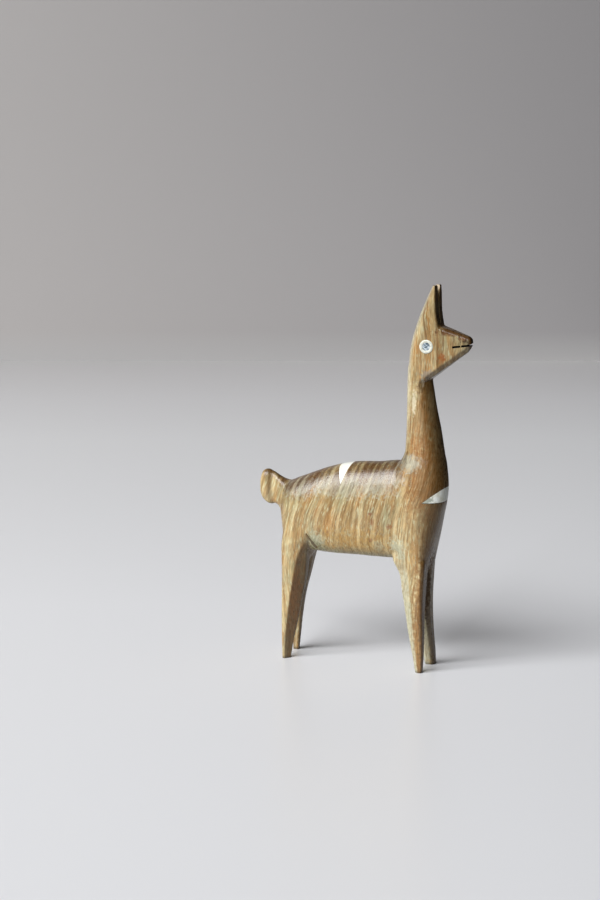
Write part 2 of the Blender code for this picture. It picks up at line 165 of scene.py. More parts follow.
chest = [
    (crotch_z, 17.4, 25.7, 7.9, 4.0),
    (42.0, 15.0, 27.0, 8.4, 3.4),
    (48.0, 12.0, 28.5, 8.9, 3.0),
    (57.0, 9.0, 30.5, 9.0, 2.6),
    (63.0, 8.5, 31.7, 8.9, 2.5),
    (68.5, 9.5, 32.1, 8.5, 2.5),
    (73.0, 12.5, 31.7, 7.9, 2.5),
    (78.0, 15.8, 30.9, 7.0, 2.5),
    (82.0, 17.2, 29.6, 6.0, 2.3),
]
billet.append(upright("chest", chest, 2.5))
neck = [
    (70.0, 16.0, 31.6, 7.4, 2.5),
    (76.0, 16.2, 31.1, 7.1, 2.5),
    (82.0, 16.6, 30.3, 6.6, 2.3),
    (88.0, 16.9, 29.4, 6.2, 2.1),
    (95.0, 17.0, 28.0, 5.6, 1.9),
    (102.0, 17.0, 26.8, 5.0, 1.8),
    (neck_top, 17.0, 26.2, 4.7, 1.7),
    (neck_top + 5.0, 17.2, 26.0, 4.6, 1.7),
]
billet.append(upright("neck", neck, 2.2))

# THE HAUNCHES AND THE TAIL
# The rump drops almost straight from the root of the tail to the fork of the hind legs. The haunch is cut
# away in front to meet the leg's bevel. The tail is a short paddle that turns up, waisted by the knife.
haunches = [
    (crotch_z, -29.6, -21.6, 7.9, 1.3),
    (42.0, -30.7, -18.2, 8.4, 1.9),
    (48.0, -31.2, -14.0, 8.5, 2.5),
    (53.0, -31.9, -12.0, 8.1, 2.6),
    (57.0, -32.5, -13.0, 6.9, 2.6),
    (62.0, -31.4, -15.0, 5.2, 2.6),
]
billet.append(upright("haunches", haunches, 2.5))
tail = [
    (tail_x, 65.8, 60.6, 1.6),
    (-40.2, 68.3, 58.9, 2.3),
    (-39.0, 69.5, 57.6, 2.7),
    (-37.5, 69.6, 56.7, 2.6),
    (-36.3, 69.1, 56.6, 2.0),
    (-35.3, 68.7, 56.9, 1.9),
    (-33.5, 67.6, 55.9, 2.5),
    (-31.5, 66.6, 53.0, 3.4),
    (-27.0, 65.8, 51.0, 4.6),
]
billet.append(lengthwise("tail", tail, 2.8, 0.5))

# THE LEGS
# Each leg is whittled to a taper with flat faces and slanting corners, and no two are quite alike. A broad
# bevel runs down the front of each hind leg. All are left a little long here, to be cut level later.
bevel_ratio = 1.3


def leg(name, side, stations, bevels):
    """Wood shaped to a leg. Each station: z, rear, front, inner and outer face, and the share of the depth
    that the front outer bevel takes. Each other bevel: its share of the depth and of the thickness."""
    rear_outer, front_inner, rear_inner = bevels
    rings = []
    for z in every(1.0, stations):
        rear, front, inner, outer, bevel = along(stations, z)
        deep, thick = front - rear, outer - inner
        corners = [
            (rear, outer - rear_outer[1] * thick),
            (rear + rear_outer[0] * deep, outer),
            (front - bevel * deep, outer),
            (front, outer - bevel_ratio * bevel * thick),
            (front, inner + front_inner[1] * thick),
            (front - front_inner[0] * deep, inner),
            (rear + rear_inner[0] * deep, inner),
            (rear, inner + rear_inner[1] * thick),
        ]
        rings.append([(x, side * out, z) for x, out in corners])
    return skin(name, rings)


front_bevels = ((0.45, 0.30), (0.22, 0.28), (0.25, 0.30))
hind_bevels = ((0.10, 0.20), (0.12, 0.12), (0.20, 0.25))
front_right = [
    (-1.0, 23.5, 25.9, 6.4, 8.6, 0.10),
    (6.0, 22.1, 26.1, 5.2, 8.6, 0.10),
    (13.0, 20.5, 26.0, 4.2, 8.5, 0.10),
    (20.0, 19.1, 25.7, 3.0, 8.4, 0.10),
    (30.0, 17.2, 25.8, 1.4, 8.3, 0.10),
    (36.0, 16.0, 26.0, 0.8, 8.1, 0.10),
    (40.0, 13.8, 26.1, 0.7, 8.0, 0.10),
    (46.0, 12.6, 25.0, 0.7, 6.6, 0.10),
]
front_left = [
    (-1.0, 22.4, 26.2, 4.7, 7.9, 0.10),
    (6.0, 21.5, 25.8, 3.7, 7.9, 0.10),
    (13.0, 20.5, 25.2, 2.7, 7.9, 0.10),
    (20.0, 19.3, 24.8, 2.0, 8.0, 0.10),
    (30.0, 17.4, 24.9, 1.2, 8.1, 0.10),
    (36.0, 16.0, 25.3, 0.8, 8.0, 0.10),
    (40.0, 13.8, 25.5, 0.7, 8.0, 0.10),
    (46.0, 12.6, 25.0, 0.7, 6.6, 0.10),
]
hind_right = [
    (-1.0, -29.2, -26.5, 5.6, 8.1, 0.60),
    (6.0, -29.5, -25.7, 4.6, 8.3, 0.58),
    (14.0, -29.6, -24.3, 3.4, 8.4, 0.54),
    (22.0, -29.7, -22.9, 2.3, 8.4, 0.48),
    (30.0, -29.8, -21.5, 1.2, 8.3, 0.40),
    (38.0, -30.0, -20.6, 0.7, 8.1, 0.30),
    (44.0, -30.0, -19.3, 0.7, 8.0, 0.14),
    (49.0, -29.5, -17.0, 0.7, 7.2, 0.02),
]
hind_left = [
    (-1.0, -31.1, -28.6, 6.3, 8.9, 0.48),
    (6.0, -30.8, -27.6, 5.0, 8.8, 0.48),
    (14.0, -30.4, -26.4, 3.6, 8.8, 0.47),
    (22.0, -30.1, -24.9, 2.4, 8.6, 0.44),
    (30.0, -29.9, -22.8, 1.2, 8.4, 0.38),
    (38.0, -30.0, -20.8, 0.7, 8.1, 0.30),
    (44.0, -30.0, -19.3, 0.7, 8.0, 0.14),
    (49.0, -29.5, -17.0, 0.7, 7.2, 0.02),
]
billet.append(leg("front_leg_right", -1, front_right, front_bevels))
billet.append(leg("front_leg_left", 1, front_left, front_bevels))
billet.append(leg("hind_leg_right", -1, hind_right, hind_bevels))
billet.append(leg("hind_leg_left", 1, hind_left, hind_bevels))

# THE HEAD AND THE EARS
# Sawn to its side view, then to a wedge in plan that closes towards the nose. The nape is rounded, and the
# muzzle keeps its flat top. The lower edges of the jaw and the upper edges of the muzzle are chamfered.
cheek_half = 4.9
cheek_x = 23.0
cheek_angle = math.radians(10.4)
throat = (26.2, 106.7)
chin = (39.6, 116.7)
nape_round = 3.6
nape_steps = 12
jaw_chamfer = 1.4
brow_chamfer = 0.9
brow_back = (29.9, 125.5)
brow_front = (39.9, 122.2)
ear_foot = 126.4
ear_taper = 0.04
beyond = 4.0


def cheek(x):
    """Half the width of the head."""
    return cheek_half - max(0.0, x - cheek_x) * math.tan(cheek_angle)


# Each level of the side view: z, rear and front.
side_view = [
    (neck_top - 0.4, 17.0, 23.6),
    (throat[1], 17.1, throat[0]),
    (chin[1], 18.0, chin[0]),
    (118.2, 18.3, 40.4),
    (119.4, 18.5, nose_x),
    (121.2, 19.0, nose_x - 0.1),
    (brow_front[1], 19.2, brow_front[0]),
    (brow_back[1], 20.2, brow_back[0]),
    (ear_foot, 20.5, 29.1),
    (130.0, 21.8, 28.5),
    (134.8, 23.8, 28.2),
    (137.6, 25.1, 28.1),
    (height + 0.1, 26.4, 28.0),
]
quarter_turn = [math.pi / 2 * k / nape_steps for k in range(nape_steps + 1)]
rings = []
for z, rear, front in side_view:
    nape = min(nape_round, front - rear)
    taper = 1 - ear_taper * max(0.0, z - ear_foot) / (height - ear_foot)
    half_ring = [(rear + nape * (1 - math.cos(a)), math.sin(a)) for a in quarter_turn] + [(front, 1.0)]
    half_ring = [(x, cheek(x) * taper * share, z) for x, share in half_ring]
    rings.append(half_ring + [(x, -y, z) for x, y, z in reversed(half_ring[1:])])
head = skin("head", rings)


def shaped(piece, *modifiers):
    """Works on a piece with Blender's modifiers, given as (type, settings), and keeps the result."""
    for kind, settings in modifiers:
        made = piece.modifiers.new("work", kind)
        for name, value in settings.items():
            setattr(made, name, value)
    graph = bpy.context.evaluated_depsgraph_get()
    mesh = bpy.data.meshes.new_from_object(piece.evaluated_get(graph), depsgraph=graph)
    piece.modifiers.clear()
    piece.data = mesh


def cut(piece, operation, tools, **settings):
    """Joins, trims or cuts a piece with others, which are used up."""
    group = bpy.data.collections.new("tools")
    scene.collection.children.link(group)
    for tool in tools:
        scene.collection.objects.unlink(tool)
        group.objects.link(tool)
    settings.update(operation=operation, solver="EXACT", operand_type="COLLECTION", collection=group)
    shaped(piece, ("BOOLEAN", settings))
    for tool in tools:
        bpy.data.objects.remove(tool, do_unlink=True)
    bpy.data.collections.remove(group)


# What is kept above the jaw: a trough whose floor lies along the jaw and whose walls slant at the chamfer.
run = Vector((chin[0] - throat[0], 0, chin[1] - throat[1])).normalized()
rise = Vector((-run.z, 0, run.x))
wide, tall = cheek_half + 1.0, 60.0
narrowest = jaw_chamfer / 6
rings = []
for x in (throat[0] - 3 * beyond, cheek_x, throat[0], chin[0], chin[0] + beyond):
    edge = max(narrowest, cheek(x) - jaw_chamfer)
    section = [(edge, 0), (wide, wide - edge), (wide, tall)]
    section += [(-y, up) for y, up in reversed(section)]
    origin = Vector((throat[0], 0, throat[1])) + run * ((x - throat[0]) / run.x)
    rings.append([tuple(origin + rise * up + Vector((0, y, 0))) for y, up in section])
cut(head, "INTERSECT", [skin("jaw_bevel", rings)])

# What is shaved off along the top of the muzzle, from just behind its foot.
fall = (brow_front[1] - brow_back[1]) / (brow_front[0] - brow_back[0])
shavings = []
for side in (-1, 1):
    rings = []
    for x in (brow_back[0] - 0.7, brow_front[0] + beyond):
        top = brow_back[1] + fall * (x - brow_back[0])
        corners = [(-brow_chamfer - 1, 1), (1, 1), (1, -brow_chamfer - 1)]
        rings.append([(x, side * (cheek(x) + out), top + up) for out, up in corners])
    shavings.append(skin("brow_chamfer", rings))
cut(head, "DIFFERENCE", shavings)
billet.append(head)

# THE CARVING IN ONE PIECE
# Knife and paper take off every corner a little and leave the faces gently uneven. So the shapes become one
# skin of fine cells, which is smoothed and gets the swells and ripples of hand work.
cell = 0.39
sanding = 2
swell, swell_size = 0.08, (9.0, 9.0, 14.0)
ripple, ripple_size = 0.04, (3.2, 3.2, 9.0)
elsewhere = Vector((0, 7, 0))
carving = billet[0]
carving.name = carving.data.name = "carved_wood"
cut(carving, "UNION", billet[1:])
shaped(
    carving,
    ("REMESH", {"mode": "VOXEL", "voxel_size": cell * MM}),
    ("SMOOTH", {"factor": 0.5, "iterations": sanding}),
)
moves = []
for vert in carving.data.vertices:
    spot = vert.co / MM
    broad = noise.noise(Vector([c / size for c, size in zip(spot, swell_size)]))
    fine = noise.noise(Vector([c / size for c, size in zip(spot, ripple_size)]) + elsewhere)
    moves.append(vert.normal * MM * (swell * broad + ripple * fine))
for vert, move in zip(carving.data.vertices, moves):
    vert.co += move

# PALO SANTO, WHITTLED, SANDED AND WAXED
# Honey brown with olive and ochre zones. The growth layers stand upright across the body, so the flank is
# banded every 2 to 3 mm and the neck more finely. Short interlocked fibres break up the shine of the wax.


def linear(code):
    """A colour from its sRGB hex code."""
    parts = [int(code[i : i + 2], 16) / 255 for i in (1, 3, 5)]
    return (*[c / 12.92 if c <= 0.04045 else ((c + 0.055) / 1.055) ** 2.4 for c in parts], 1.0)


def add(tree, kind, inputs=None, stops=None, **settings):
    """Adds a node. An input is a value, a node or a socket. Stops are the places and colours of a ramp."""
    made = tree.nodes.new("ShaderNode" + kind)
    for name, value in settings.items():
        setattr(made, name, value)
    for key, value in (inputs or {}).items():
        if isinstance(value, bpy.types.Node):
            value = value.outputs[0]
        if isinstance(value, bpy.types.NodeSocket):
            tree.links.new(value, made.inputs[key])
        else:
            made.inputs[key].default_value = value
    if stops:
        elements = made.color_ramp.elements
        while len(elements) < len(stops):
            elements.new(0.5)
        for element, (place, code) in zip(elements, stops):
            element.position = place
            element.color = linear(code)
    return made


def finish_of(name, **values):
    """A new material, its tree, its surface shader with some values set, and places on a piece in mm. The
    helpers below work on the tree that was made last."""
    made = bpy.data.materials.new(name)
    made.use_nodes = True
    shader = made.node_tree.nodes["Principled BSDF"]
    for key, value in values.items():
        shader.inputs[key].default_value = value
    place = add(made.node_tree, "TexCoord").outputs["Object"]
    place = add(made.node_tree, "VectorMath", {0: place, "Scale": 1 / MM}, operation="SCALE")
    return made, made.node_tree, shader, place.outputs[0]


def drive(socket, node):
    """Lets a node set one of the surface's values."""
    tree.links.new(node.outputs[0], surface.inputs[socket])


def amount(*parts):
    """The product of parts. Each is a number, a node, or a value with its low and high end and what they
    stand for, which is 0 and 1 unless it is given."""
    product = None
    for part in parts:
        if isinstance(part, tuple):
            part = add(tree, "MapRange", dict(zip(("Value", 1, 2, 3, 4), part)))
        product = part if product is None else add(tree, "Math", {0: product, 1: part}, operation="MULTIPLY")
    return product


def stained(colour, code, *parts):
    """A colour with another laid over it, as strong as the product of parts."""
    inputs = {"Factor": amount(*parts), "A": colour, "B": linear(code)}
    return add(tree, "Mix", inputs, data_type="RGBA").outputs["Result"]


def toned(colour, *parts):
    """A colour made lighter or darker by the product of parts."""
    return add(tree, "VectorMath", {0: colour, "Scale": amount(*parts)}, operation="SCALE")


def blotch(centre, radii):
    """A mark about a point, with radii along the three axes and a ragged edge."""
    off = add(tree, "VectorMath", {0: mm, 1: centre}, operation="SUBTRACT")
    off = add(tree, "VectorMath", {0: off, 1: radii}, operation="DIVIDE")
    reach = add(tree, "VectorMath", {0: off}, operation="LENGTH").outputs["Value"]
    torn = add(tree, "Math", {0: ragged, 1: 2.4, 2: reach}, operation="MULTIPLY_ADD")
    return amount((torn, 1.8, 2.5, 1.0, 0.0))


palo_santo, tree, surface, mm = finish_of("palo_santo_whittled_sanded_waxed", IOR=1.5)
axes = add(tree, "SeparateXYZ", {0: mm})
facing = add(tree, "SeparateXYZ", {0: add(tree, "TexCoord").outputs["Normal"]})
ragged = add(tree, "TexNoise", {"Vector": mm, "Scale": 1 / 1.1, "Detail": 3.0})

# The layers lean forward by 6.5 mm between the belly and the back, and wander by a few millimetres more.
lean = {"Value": axes.outputs["Z"], 1: 42.0, 2: 80.0, 3: 0.0, 4: 6.5}
lean = add(tree, "MapRange", lean, interpolation_type="SMOOTHSTEP")
layer = add(tree, "Math", {0: axes.outputs["X"], 1: lean}, operation="SUBTRACT")
wander = add(tree, "TexNoise", {"Vector": mm, "Scale": 1 / 26.0, "Detail": 1.0})
layer = add(tree, "Math", {0: wander, 1: 7.0, 2: layer}, operation="MULTIPLY_ADD")
grain = add(tree, "CombineXYZ", {"X": layer, "Y": axes.outputs["Y"], "Z": axes.outputs["Z"]})


def grown(thick, across, upward, detail=2.0):
    """A pattern drawn out by so many mm through the layers, across the animal and upwards."""
    drawn = add(tree, "VectorMath", {0: grain, 1: (1 / thick, 1 / across, 1 / upward)}, operation="MULTIPLY")
    return add(tree, "TexNoise", {"Vector": drawn, "Scale": 1.0, "Detail": detail}).outputs[0]


# On the body the layers come round every 2.7 mm, give or take, and from the shoulders up they are finer.
season, wave_of_one_mm = 2.7, 0.314
above_body = amount((axes.outputs["Z"], 70.0, 92.0))
seasons = {
    "Vector": add(tree, "VectorMath", {0: grain, 1: (1.0, 0.3, 0.12)}, operation="MULTIPLY"),
    "Scale": wave_of_one_mm / season,
    "Distortion": 3.5,
    "Detail": 2.0,
}
seasons = add(tree, "TexWave", seasons).outputs["Fac"]
flank_bands = add(tree, "Math", {0: seasons, 1: 0.14, 2: -0.07}, operation="MULTIPLY_ADD")
flank_bands = add(tree, "Math", {0: grown(2.2, 12.0, 50.0, 3.0), 1: flank_bands}, operation="ADD")
bands = add(tree, "Mix", {"Factor": above_body, "A": flank_bands, "B": grown(1.1, 5.0, 30.0)})
bands = bands.outputs["Result"]

# The real fibres are finer than the picture can show, so they are drawn half a millimetre thick.
lines = grown(0.9, 8.0, 34.0)
flecks = grown(0.55, 0.8, 5.0, 3.0)
fibres = grown(0.5, 0.6, 2.2, 3.0)

# Dark to pale layers, with olive and ochre zones, pale and dark lines, and pale green and rusty flecks.
layer_colours = [(0.30, "#7b6037"), (0.42, "#90764b"), (0.50, "#9c845a")]
layer_colours += [(0.58, "#aa9267"), (0.68, "#bcaa80")]
colour = add(tree, "ValToRGB", {0: bands}, stops=layer_colours).outputs[0]
colour = stained(colour, "#8f8b69", (grown(8.0, 16.0, 34.0), 0.48, 0.64, 0.0, 0.7))
colour = stained(colour, "#a5763c", (grown(4.0, 9.0, 20.0), 0.50, 0.68, 0.0, 0.65))
colour = stained(colour, "#c6b88f", (lines, 0.57, 0.67, 0.0, 0.55))
colour = stained(colour, "#6f4f2c", (lines, 0.43, 0.33, 0.0, 0.55))
colour = stained(colour, "#bbbb99", (grown(0.6, 0.8, 3.0, 3.0), 0.54, 0.68, 0.0, 0.6))
colour = stained(colour, "#8f5f30", (grown(0.7, 0.9, 4.5, 3.0), 0.56, 0.70, 0.0, 0.5))

# Marks where they lie on the carving. Each: its middle, its radii, its colour and how strong it is.
marks = [
    # Warmer, darker wood on the shoulder, the neck and the near front leg, partly their own colour and partly
    # painted shade, and painted shade on the fronts of both front legs.
    ((26.5, -7.0, 72.0), (8.0, 6.0, 14.0), "#80542a", 0.58),
    ((24.0, -6.0, 90.0), (5.0, 4.0, 14.0), "#8e5c2c", 0.45),
    ((25.4, -8.0, 14.0), (3.0, 5.0, 28.0), "#7c5426", 0.75),
    ((26.6, 0.0, 16.0), (2.0, 9.5, 30.0), "#3a2815", 0.7),
    # A painted greyish-white highlight along the side of the back, and a yellower belly.
    ((-5.0, -8.0, 66.8), (15.0, 5.0, 4.2), "#b5b5a3", 0.4),
    ((-24.0, -7.0, 65.6), (9.0, 5.0, 4.4), "#bcbcab", 0.5),
    ((9.0, -8.0, 68.0), (8.0, 5.0, 4.2), "#b3b4a2", 0.35),
    ((2.0, -9.0, 45.0), (18.0, 5.0, 6.0), "#a8823a", 0.4),
    # Rusty specks on the flank and the cheek, and dark edges of the muzzle, partly their own colour and
    # partly painted shade.
    ((5.8, -9.0, 57.3), (0.7, 2.0, 0.7), "#6e3c1c", 0.7),
    ((6.6, -9.0, 54.1), (0.8, 2.0, 1.2), "#7d4a22", 0.6),
    ((5.8, -8.8, 47.3), (0.7, 2.0, 0.7), "#6e3c1c", 0.7),
    ((13.2, -9.0, 53.1), (1.1, 2.0, 0.9), "#7d4a22", 0.6),
    ((13.9, -8.6, 44.6), (0.6, 2.0, 0.8), "#6e3c1c", 0.6),
    ((28.4, -7.0, 41.1), (0.8, 2.0, 1.3), "#5f3a1f", 0.6),
    ((30.6, -3.9, 114.5), (1.6, 1.8, 1.5), "#8a4a10", 0.85),
    ((33.4, -3.0, 123.7), (4.6, 2.4, 1.3), "#5c3519", 0.9),
    ((38.4, -2.2, 121.7), (1.7, 2.0, 1.0), "#6d3415", 0.8),
    # Greenish rough wood in the corners of the neck and legs, a pale patch at the foot of the neck that is
    # partly painted highlight, and a painted highlight high on the shoulder.
    ((13.1, -3.0, 76.5), (4.6, 6.0, 2.4), "#7d8474", 0.6),
    ((19.6, -6.5, 76.4), (4.4, 4.0, 3.2), "#b5bba9", 0.55),
    ((14.0, -8.0, 71.0), (5.5, 4.0, 2.8), "#cdc8b6", 0.4),
    ((16.1, -8.3, 44.6), (3.2, 3.0, 4.6), "#adad93", 0.8),
    ((-16.2, -7.5, 44.9), (3.0, 4.0, 4.0), "#a5a68c", 0.75),
    ((8.5, -8.7, 45.0), (2.4, 3.0, 2.4), "#a5a68c", 0.45),
    # A painted highlight streak on the neck, painted shade and grey wax at the throat, a pale far leg, and
    # painted shade on the top of the muzzle and on the nose.
    ((21.1, -4.8, 98.4), (0.8, 2.4, 4.6), "#d2c8ac", 0.7),
    ((25.0, -3.0, 104.4), (3.4, 3.4, 3.0), "#3a3022", 0.6),
    ((24.0, -3.8, 105.6), (0.5, 2.0, 1.4), "#d9d0b6", 0.7),
    ((25.9, -3.5, 108.2), (2.4, 3.0, 1.8), "#85847c", 0.6),
    ((23.8, 3.0, 10.0), (3.2, 2.4, 14.0), "#a9a78f", 0.6),
    ((35.5, -0.6, 125.0), (8.0, 3.0, 2.4), "#4d3c22", 0.5),
    ((41.2, 0.0, 121.2), (3.6, 5.0, 3.2), "#261b10", 0.9),
]
for centre, radii, code, share in marks:
    colour = stained(colour, code, blotch(centre, radii), share)

# The split face behind each front leg was never sanded and is greenish, and is painted paler where the
# window's light falls on it.
behind_leg = amount((facing.outputs["X"], -0.22, -0.5), (axes.outputs["Z"], 44.0, 38.0))
behind_leg = amount(behind_leg, (axes.outputs["X"], 4.0, 8.0), (ragged, 0.35, 0.6, 0.5, 0.95))
colour = stained(colour, "#b3b096", behind_leg)

# The bevel of the hind leg is rusty, and the slot between the front legs is rough and painted near black for
# the shade in it.
rust = blotch((-25.5, -6.5, 28.0), (3.0, 4.0, 16.0))
colour = stained(colour, "#a8621f", rust, (facing.outputs["X"], 0.3, 0.6, 0.0, 0.65))
slot = blotch((24.9, 0.4, 28.0), (5.0, 3.4, 13.0))
colour = stained(colour, "#140e08", slot, 0.96)

# Faces that look down are olive grey, and faces that look up are darker, most of all in the darker layers.
# The front is painted darker as shade, since it turns from the window. The nape and the backs of the ears are
# painted paler where the window's light falls on them, and the feet are painted dark at the bottom, as shade
# where they meet the table.
colour = stained(colour, "#7c7a5c", (facing.outputs["Z"], -0.4, -0.75, 0.0, 0.5))
topside = amount((facing.outputs["Z"], 0.10, 0.5), (bands, 0.42, 0.60, 0.86, 0.46))
colour = stained(colour, "#4a3019", topside)
colour = stained(colour, "#4c3414", (facing.outputs["X"], -0.02, 0.65, 0.0, 0.79))
nape = amount((facing.outputs["X"], -0.3, -0.85, 0.0, 0.55), (axes.outputs["Z"], 84.0, 104.0))
colour = stained(colour, "#bdb9a2", nape)
colour = stained(colour, "#2b2618", (axes.outputs["Z"], 1.3, 0.1, 0.0, 0.75))

# Fibres and flecks vary the tone and stand out by a tenth of a millimetre. The wax leaves a low, uneven
# shine, and hardly any in the slot.
drive("Base Color", toned(colour, (flecks, 0.32, 0.68, 0.82, 1.18), (fibres, 0.32, 0.68, 0.84, 1.16)))
waxed = amount((flecks, 0.3, 0.7, 0.22, 0.38))
drive("Roughness", add(tree, "Math", {0: slot, 1: 0.5, 2: waxed}, operation="MULTIPLY_ADD"))
relief = add(tree, "Math", {0: flecks, 1: fibres}, operation="ADD")
drive("Normal", add(tree, "Bump", {"Height": relief, "Strength": 0.7, "Distance": 0.12 * MM}))
carving.data.materials.append(palo_santo)

# THE BONE WEDGES
# Two slips of bone, cut to fill a V groove across the back and one across the chest, are glued in and sanded
# flush. Sawn bone is off-white and satin. The near tip of the chest groove is filled with grey paste.
across = half_width + beyond
back_groove = ((-6.1, 67.3), (-9.4, 77.0), (-2.6, 77.0))
chest_groove = ((25.4, 62.6), (36.0, 62.4), (36.0, 70.6))
filled_tip = (27.2, -8.2, 63.7)


def sawn_through(name, outline):
    """A side view sawn straight across the animal."""
    return skin(name, [[(x, y, z) for x, z in outline] for y in (-across, across)])


def faired(piece, angle):
    """Shades a piece smoothly, but for edges sharper than an angle in degrees."""
    piece.data.shade_smooth()
    piece.data.set_sharp_from_angle(angle=math.radians(angle))


# Clouded off-white with a satin sheen, and dark pores that lie a little deeper. Real pores are too fine to
# show, so these are a quarter of a millimetre across.
bone, tree, surface, mm = finish_of("bone_sawn_sanded_flush", Roughness=0.36, IOR=1.54)
ragged = add(tree, "TexNoise", {"Vector": mm, "Scale": 1 / 1.1, "Detail": 3.0})
whites = [(0.35, "#d6d6c6"), (0.5, "#e2e2d8"), (0.65, "#ecefe9")]
clouds = add(tree, "TexNoise", {"Vector": mm, "Scale": 1 / 2.2, "Detail": 3.0})
colour = add(tree, "ValToRGB", {0: clouds}, stops=whites)
colour = stained(colour, "#8a9084", blotch(filled_tip, (2.6, 2.6, 1.7)), 0.85)
pores = add(tree, "TexNoise", {"Vector": mm, "Scale": 1 / 0.25, "Detail": 1.0})
drive("Base Color", toned(colour, (pores, 0.30, 0.38, 0.80, 1.0)))
drive("Normal", add(tree, "Bump", {"Height": pores, "Strength": 0.25, "Distance": 0.08 * MM}))
for name, groove in (("back_inlay", back_groove), ("chest_inlay", chest_groove)):
    wedge = sawn_through("bone_wedge_" + name.split("_")[0], groove)
    block = bpy.data.objects.new("block", carving.data.copy())
    scene.collection.objects.link(block)
    cut(wedge, "INTERSECT", [block])
    wedge.data.materials.clear()
    wedge.data.materials.append(bone)
    faired(wedge, 35)
    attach(wedge, "root")
    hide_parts(name)

# SAW, CHISEL AND DRILL WORK
# The feet are cut level. A fine saw splits the ears, which open in a V at their tips, and makes the mouth. It
# was tilted to one side and then the other, so it left a ridge inside, and one fibre still bridges the mouth.
# Grooves and eye sockets are cut, and a chisel has slipped before the thigh. Sawn faces stay rough, and are
# painted dark for the shade inside them.
ear_middle, ear_saw = 24.0, 0.5
fork_z, fork_width, fork_shift = 134.2, 3.0, 0.5
mouth_back, mouth_kerf, mouth_reach = (34.3, 118.6), 0.75, 12.0
mouth_rise, mouth_lean = 6.4, 4.6
fibre_at, fibre_width, fibre_depth = 3.05, 0.3, 1.6
ridge, ridge_end = 0.25, 5.6
eye_at, eye_width, eye_depth = (25.2, 118.4), 4.9, 2.2
eye_points = 48
chest_gap = 0.15
slip = [(-19.4, 48.0, 0.3, 0.25), (-17.7, 45.2, 0.8, 0.55), (-16.2, 42.4, 1.1, 0.8)]
slip_lip = 1.0


def slab(name, centre, sizes, turn):
    """A saw blade: a flat block about a point, turned about it by angles in degrees."""
    turned = Euler([math.radians(a) for a in turn]).to_matrix()
    corners = [(-0.5, -0.5), (0.5, -0.5), (0.5, 0.5), (-0.5, 0.5)]
    rings = []
    for up in (-0.5, 0.5):
        ring = [Vector((u * sizes[0], v * sizes[1], up * sizes[2])) for u, v in corners]
        rings.append([tuple(Vector(centre) + turned @ p) for p in ring])
    return skin(name, rings)


def mouth_blade(start, end, near, far):
    """A length of the mouth's kerf, measured from its back end, that cuts from one y to another."""
    turn = (mouth_lean, -mouth_rise, 0)
    turned = Euler([math.radians(a) for a in turn]).to_matrix()
    middle = turned @ Vector(((start + end) / 2, (near + far) / 2, 0))
    centre = Vector((mouth_back[0], 0, mouth_back[1])) + middle
    return slab("mouth", centre, (end - start, far - near, mouth_kerf), turn)


def eye_circle(radius, depth, side):
    """A circle that lies flat to the cheek, at a depth below its face."""
    out = Vector((math.sin(cheek_angle), side * math.cos(cheek_angle), 0))
    level = Vector((math.cos(cheek_angle), -side * math.sin(cheek_angle), 0))
    centre = Vector((eye_at[0], side * cheek(eye_at[0]), eye_at[1])) - out * depth
    ring = []
    for k in range(eye_points):
        a = 2 * math.pi * k / eye_points
        ring.append(tuple(centre + level * (radius * math.cos(a)) + Vector((0, 0, radius * math.sin(a)))))
    return ring


# The groove in the chest is cut a little lower than the wedge reaches, which leaves a line of painted shade
# under it, in the dark sawn finish.
chest_cut = [(x, z - (0 if z > 65 else chest_gap)) for x, z in chest_groove]

# The gap between the ears, seen from the front: y and z around it.
gap_foot = ear_foot + 0.3
fork = [(ear_saw / 2, gap_foot), (ear_saw / 2, fork_z), (fork_shift + fork_width / 2, height + 1)]
fork += [(fork_shift - fork_width / 2, height + 1), (-ear_saw / 2, fork_z), (-ear_saw / 2, gap_foot)]

# The slip of the chisel deepens as it runs down. Each place: x, z, half breadth, depth below the skin there.
bpy.context.view_layer.update()
chisel = []
for x, z, breadth, depth in slip:
    skin_y = carving.ray_cast(Vector((x, -across, z)) * MM, Vector((0, 1, 0)))[1].y / MM
    lip, floor = skin_y - slip_lip, skin_y + depth
    spread = breadth * (slip_lip + depth) / depth
    chisel.append([(x + spread, lip, z + spread / 2), (x - spread, lip, z - spread / 2), (x, floor, z)])
tools = [
    slab("ground", (0, 0, -2.0), (100, 2 * across, 4.0), (0, 0, 0)),
    mouth_blade(0.0, fibre_at - fibre_width / 2, -across, -ridge),
    mouth_blade(fibre_at + fibre_width / 2, mouth_reach, -across, -ridge),
    mouth_blade(fibre_at - fibre_width, fibre_at + fibre_width, -fibre_depth, -ridge),
    mouth_blade(0.0, mouth_reach, ridge, across),
    mouth_blade(ridge_end, mouth_reach, -2 * ridge, 2 * ridge),
    skin("ears", [[(x, y, z) for y, z in fork] for x in (ear_middle - across, ear_middle + across)]),
    skin("slip", chisel),
    sawn_through("groove", back_groove),
    sawn_through("groove", chest_cut),
]
for side in (-1, 1):
    tools.append(skin("bore", [eye_circle(eye_width / 2, depth, side) for depth in (-beyond, eye_depth)]))

# Sawn faces are rough, and painted nearly black for the shade in the kerfs. The gap between the ears and the
# chisel's slip show waxed wood.
sawn, tree, surface, mm = finish_of("palo_santo_sawn_rough", Roughness=0.8)
surface.inputs["Base Color"].default_value = linear("#1b120b")
for tool in tools:
    tool.data.materials.append(palo_santo if tool.name.startswith(("slip", "ears")) else sawn)
cut(carving, "DIFFERENCE", tools, material_mode="TRANSFER")
faired(carving, 40)
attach(carving, "root")
wooden = ["torso", "neck", "head", "tail", "ear_left", "ear_right"]
wooden += [f"leg_{end}_{side}" for end in ("front", "hind") for side in ("left", "right")]
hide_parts(*wooden)

